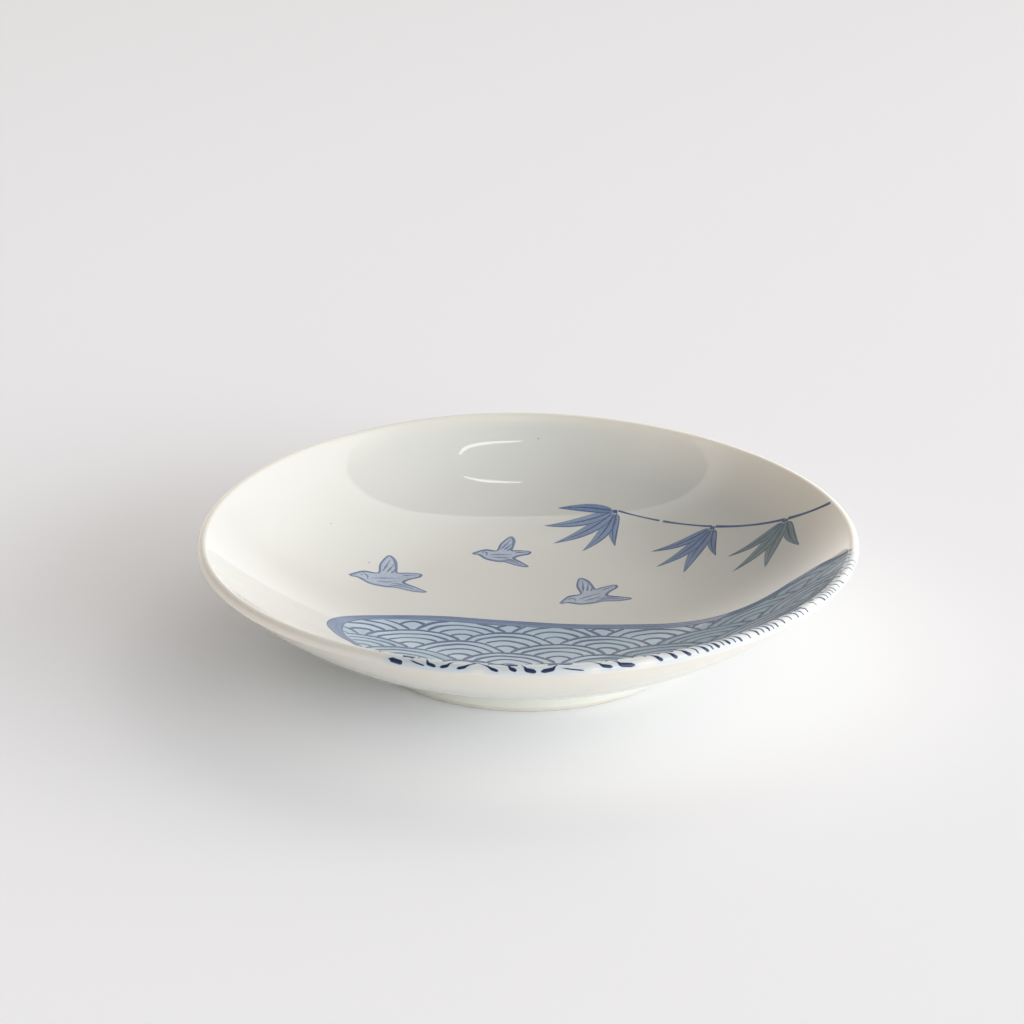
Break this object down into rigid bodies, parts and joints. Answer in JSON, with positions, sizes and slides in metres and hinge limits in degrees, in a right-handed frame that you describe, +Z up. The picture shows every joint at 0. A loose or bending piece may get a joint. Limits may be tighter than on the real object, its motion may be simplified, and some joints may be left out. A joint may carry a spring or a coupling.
{
  "type": "soy sauce dish",
  "caption": "Small round porcelain dish for soy sauce: shallow bowl on a turned foot ring, rounded lip, clear glaze over cobalt painted waves, plovers and bamboo.",
  "frame": {"origin": "on the table, under the middle of the dish", "axes": "+Z up through the middle of the bowl; -Y towards the painted front, +X to its right"},
  "size_m": [0.095, 0.095, 0.0186],
  "materials": {
    "porcelain": "fired white porcelain under the glaze",
    "bare_foot": "bare fired clay, wiped and lightly toasted where the ring stands",
    "inside_glaze": "glossy clear glaze with a faint grey tone",
    "outside_glaze": "glossy clear glaze over fine turning lines",
    "well_glaze": "glossy clear glaze inside the foot ring",
    "pale_wash": "pale cobalt wash under clear glaze",
    "band_blue": "cobalt brush stroke under clear glaze",
    "lip_navy": "pooled dark cobalt on the lip, softly blurred",
    "plover_blue": "cobalt line and wash under clear glaze",
    "leaf_teal": "teal grey wash with darker veins under clear glaze",
    "stem_blue": "cobalt brush line under clear glaze"
  },
  "bodies": {
    "root": {"dish_body": "porcelain", "foot_ring": "bare_foot", "inside_glaze": "inside_glaze", "outside_glaze": "outside_glaze", "foot_well_glaze": "well_glaze", "wave_wash": "pale_wash", "wave_band": "band_blue", "lip_strokes": "lip_navy", "plovers": "plover_blue", "bamboo_leaves": "leaf_teal", "bamboo_stem": "stem_blue"}
  },
  "joints": []
}
